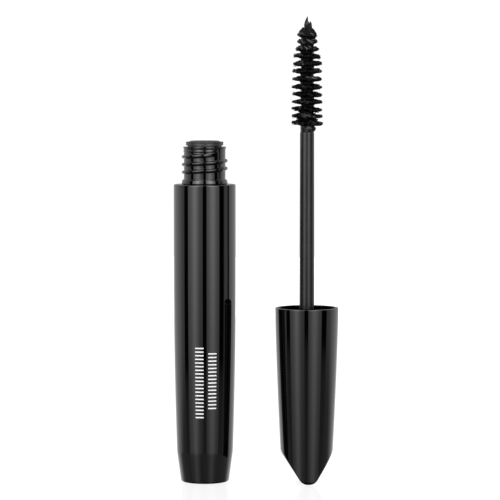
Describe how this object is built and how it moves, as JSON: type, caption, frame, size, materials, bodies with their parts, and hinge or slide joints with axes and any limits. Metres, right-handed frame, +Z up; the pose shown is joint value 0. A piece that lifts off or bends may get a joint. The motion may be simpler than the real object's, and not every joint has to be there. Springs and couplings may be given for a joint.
{
  "type": "mascara tube",
  "caption": "Open mascara tube: an upright round bottle with a threaded neck, and a screw cap with a chisel-shaped end that carries a stem and a twisted-wire brush.",
  "frame": {"origin": "centre of the bottle's flat base, on the surface that it stands on", "axes": "+Z up along the bottle, +X from the bottle's axis to the axis of the wand that stands beside it"},
  "size_m": [0.0453, 0.0174, 0.1278],
  "materials": {
    "gloss_shell": "polished black",
    "vial_plastic": "moulded black, semi-gloss",
    "wiper_plastic": "soft moulded dark grey",
    "paste": "thick wet-looking black paste",
    "stem_plastic": "satin dark grey",
    "wire": "drawn wire",
    "bristle_fibre": "black fibre coated with paste",
    "liner_foam": "closed-cell foam",
    "seal_rubber": "soft black rubber",
    "print_ink": "thin white screen print"
  },
  "bodies": {
    "bottle": {"outer_barrel": "gloss_shell", "inner_vial": "vial_plastic", "wiper": "wiper_plastic", "mascara_formula": "paste"},
    "turned": {"tip_wisp_short": "paste"},
    "inserted": {"seal_ring": "seal_rubber"},
    "lowered": {"cap_liner": "liner_foam"},
    "wand": {"cap_shell": "gloss_shell", "inner_cap": "vial_plastic", "stem": "stem_plastic", "wire_core": "wire", "bristles": "bristle_fibre", "root_paste": "paste", "tip_wisp_long": "paste"}
  },
  "joints": [
    {"name": "wand_turn_over", "type": "hinge", "parent": "bottle", "child": "turned", "pos_m": [0.01405, 0, 0.115], "axis": [0, -1, 0], "range_deg": [0, 180]},
    {"name": "wand_insert", "type": "slide", "parent": "turned", "child": "inserted", "axis": [0, 0, 1], "range_m": [0, 0.09445], "deforming": ["tip_wisp_short"]},
    {"name": "thread_advance", "type": "slide", "parent": "inserted", "child": "lowered", "axis": [0, 0, 1], "range_m": [0, 0.00525]},
    {"name": "cap_screw", "type": "hinge", "parent": "lowered", "child": "wand", "pos_m": [0.0281, 0, 0.0482], "axis": [0, 0, 1], "range_deg": [0, 900]}
  ],
  "couplings": [
    {"joint": "thread_advance", "follows": "cap_screw", "m_per_rad": 0.00033422}
  ]
}
